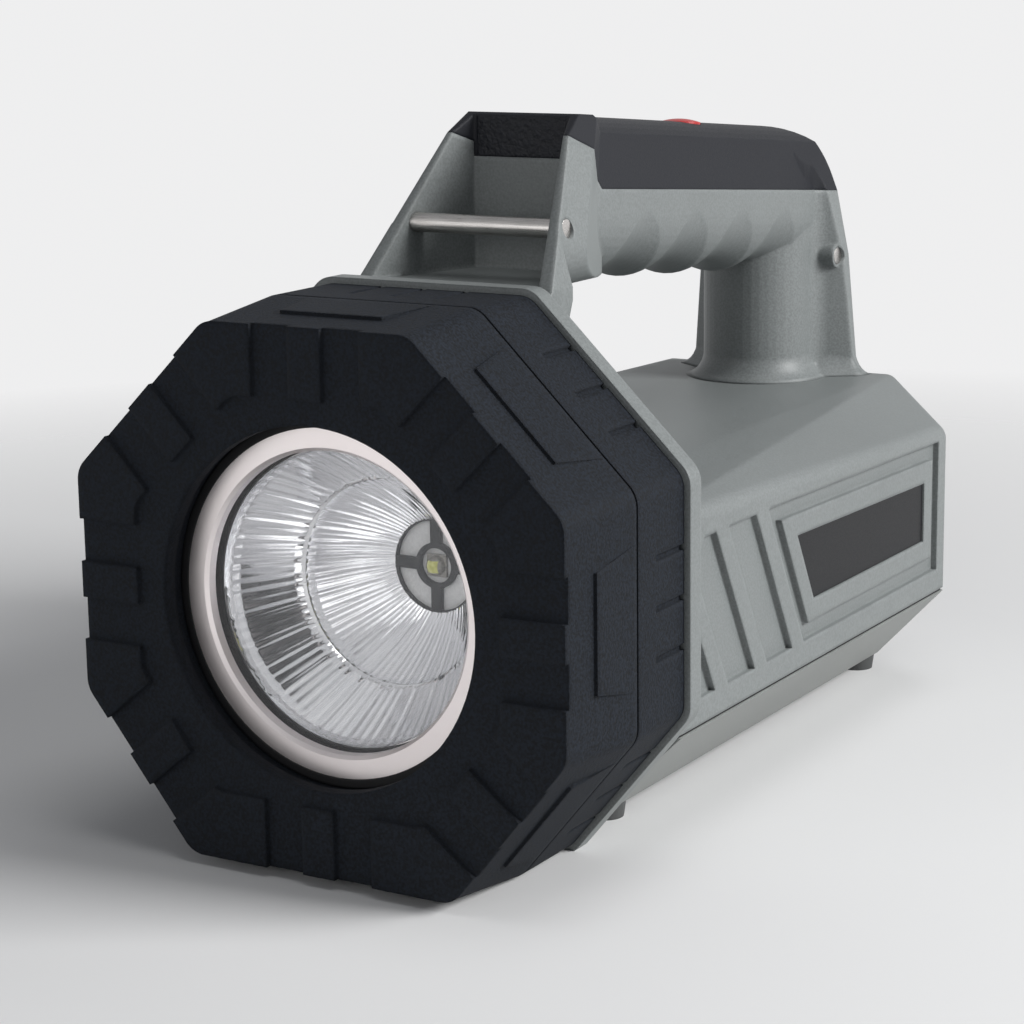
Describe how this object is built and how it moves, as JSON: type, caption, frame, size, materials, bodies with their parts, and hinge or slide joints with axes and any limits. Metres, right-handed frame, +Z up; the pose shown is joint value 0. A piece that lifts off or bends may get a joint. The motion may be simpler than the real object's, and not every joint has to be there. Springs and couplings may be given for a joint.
{
  "type": "search flashlight",
  "caption": "Hand-held search flashlight with an octagonal rubber bezel, deep fluted reflector, carry handle with finger grooves, strap bars and a red push button.",
  "frame": {"origin": "middle of the footprint on the standing surface, at half the length from the bezel's rim to the rear wall", "axes": "+Z up, the beam leaves along -Y, +X to the side that carries the near name plate"},
  "size_m": [0.1278, 0.225, 0.1562],
  "materials": {
    "rubber_black": "fine-grained matte",
    "plastic_black": "matte",
    "ring_chrome": "bright plated",
    "lens_clear": "polished",
    "seal_black": "matte",
    "bowl_mirror": "fluted mirror coating",
    "board_white": "satin",
    "led_yellow": "clear dome over a yellow die",
    "sink_aluminium": "as cast",
    "screw_steel": "plain",
    "plastic_gray": "fine texture",
    "plastic_gray_light": "fine texture",
    "foot_rubber": "matte",
    "grip_black": "fine grain",
    "bar_steel": "brushed",
    "button_red": "satin",
    "plate_black": "satin",
    "cell_jacket": "printed sleeve without print",
    "contact_brass": "plain",
    "board_green": "lacquered",
    "lead_red": "smooth"
  },
  "bodies": {
    "lamp": {"front_bezel": "rubber_black", "head_barrel": "plastic_black", "lens_ring": "ring_chrome", "lens": "lens_clear", "lens_seal": "seal_black", "reflector": "bowl_mirror", "led_holder": "plastic_black", "led_board": "board_white", "led_emitter": "led_yellow", "heat_sink": "sink_aluminium", "sink_screws": "screw_steel", "barrel_screws": "screw_steel", "body_shell": "plastic_gray", "bottom_cover": "plastic_gray_light", "bottom_seal": "seal_black", "feet": "foot_rubber", "cover_screws": "screw_steel", "handle": "plastic_gray", "handle_screws": "screw_steel", "grip_cover": "grip_black", "front_strap_bar": "bar_steel", "rear_strap_bar": "bar_steel", "switch_body": "plastic_black", "name_plates": "plate_black", "battery_tray": "plastic_black", "battery_cells": "cell_jacket", "contact_plates": "contact_brass", "driver_board": "board_green", "board_screws": "screw_steel", "leads": "lead_red"},
    "button": {"switch_button": "button_red"}
  },
  "joints": [
    {"name": "button_press", "type": "slide", "parent": "lamp", "child": "button", "axis": [0, -0.0872, -0.9962], "range_m": [0, 0.0014], "stiffness_N_per_m": 800, "springref_m": -0.0015}
  ]
}
